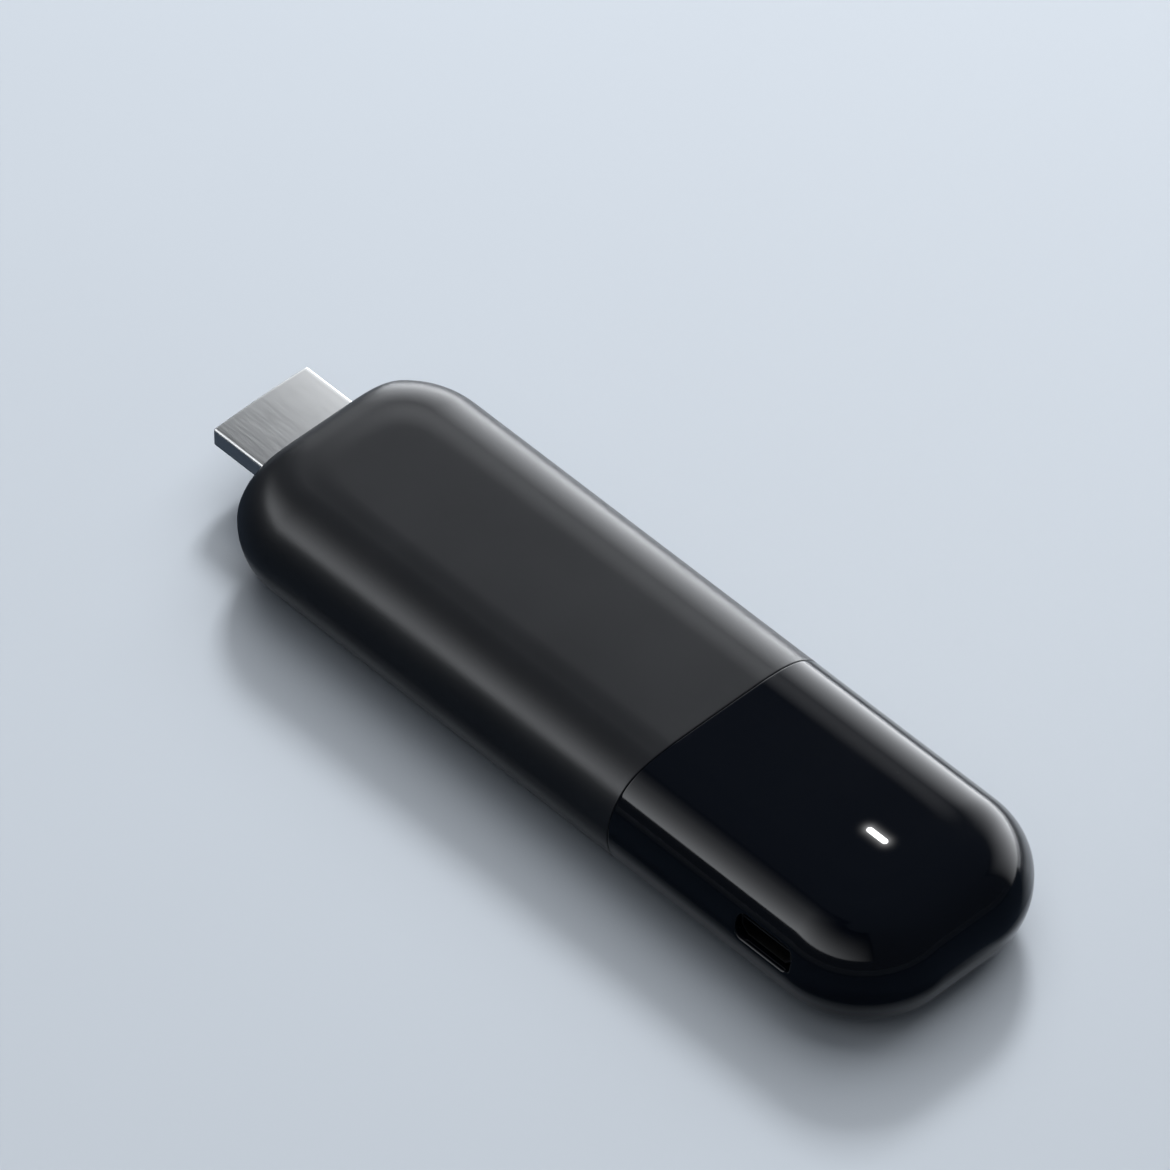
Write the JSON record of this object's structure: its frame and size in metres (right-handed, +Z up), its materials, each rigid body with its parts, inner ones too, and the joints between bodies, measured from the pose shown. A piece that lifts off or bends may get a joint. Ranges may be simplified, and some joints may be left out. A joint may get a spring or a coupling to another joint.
{
  "type": "streaming stick",
  "caption": "Slim rounded streaming stick with a video plug, a matte sleeve, a gloss end cap with a status light, and a small power socket in its side.",
  "frame": {"origin": "bottom centre of the whole stick, plug included, on the surface that it lies on", "axes": "+X from the plug to the far end, +Z up out of the face with the status light, the power socket opens towards -Y"},
  "size_m": [0.1098, 0.032, 0.015],
  "materials": {
    "sleeve_plastic": "fine matt moulded finish",
    "cap_plastic": "polished black",
    "plug_metal": "satin nickel plate",
    "contact_gold": "gold plated",
    "inner_plastic": "moulded black",
    "board": "solder mask",
    "chip_resin": "moulded resin",
    "shield_tin": "tinned",
    "screw_steel": "plain",
    "heat_pad": "soft pad",
    "spreader": "plain",
    "ceramic": "fired",
    "lamp": "lit white",
    "light_guide": "milky, lit white"
  },
  "bodies": {
    "root": {"sleeve": "sleeve_plastic", "end_cap": "cap_plastic", "plug_shell": "plug_metal", "plug_core": "inner_plastic", "plug_upper_contacts": "contact_gold", "plug_lower_contacts": "contact_gold", "plug_collar": "inner_plastic", "board_tray": "inner_plastic", "main_board": "board", "board_screws": "screw_steel", "system_chip": "chip_resin", "memory_chips": "chip_resin", "upper_shield_frame": "shield_tin", "upper_shield_lid": "shield_tin", "chip_pad": "heat_pad", "upper_thermal_pad": "heat_pad", "upper_heat_spreader": "spreader", "storage_chip": "chip_resin", "lower_shield_frame": "shield_tin", "lower_shield_lid": "shield_tin", "lower_thermal_pad": "heat_pad", "lower_heat_spreader": "spreader", "surge_chips": "chip_resin", "crystal": "shield_tin", "power_inductors": "chip_resin", "upper_capacitors": "ceramic", "lower_capacitors": "ceramic", "resistors": "chip_resin", "power_chip": "chip_resin", "wireless_module": "board", "wireless_shield": "shield_tin", "status_lamp": "lamp", "light_guide": "light_guide", "light_baffle": "inner_plastic", "power_port_shell": "shield_tin", "power_port_core": "inner_plastic", "power_port_contacts": "contact_gold", "antenna_carrier": "inner_plastic", "antennas": "contact_gold", "antenna_springs": "contact_gold"}
  },
  "joints": []
}
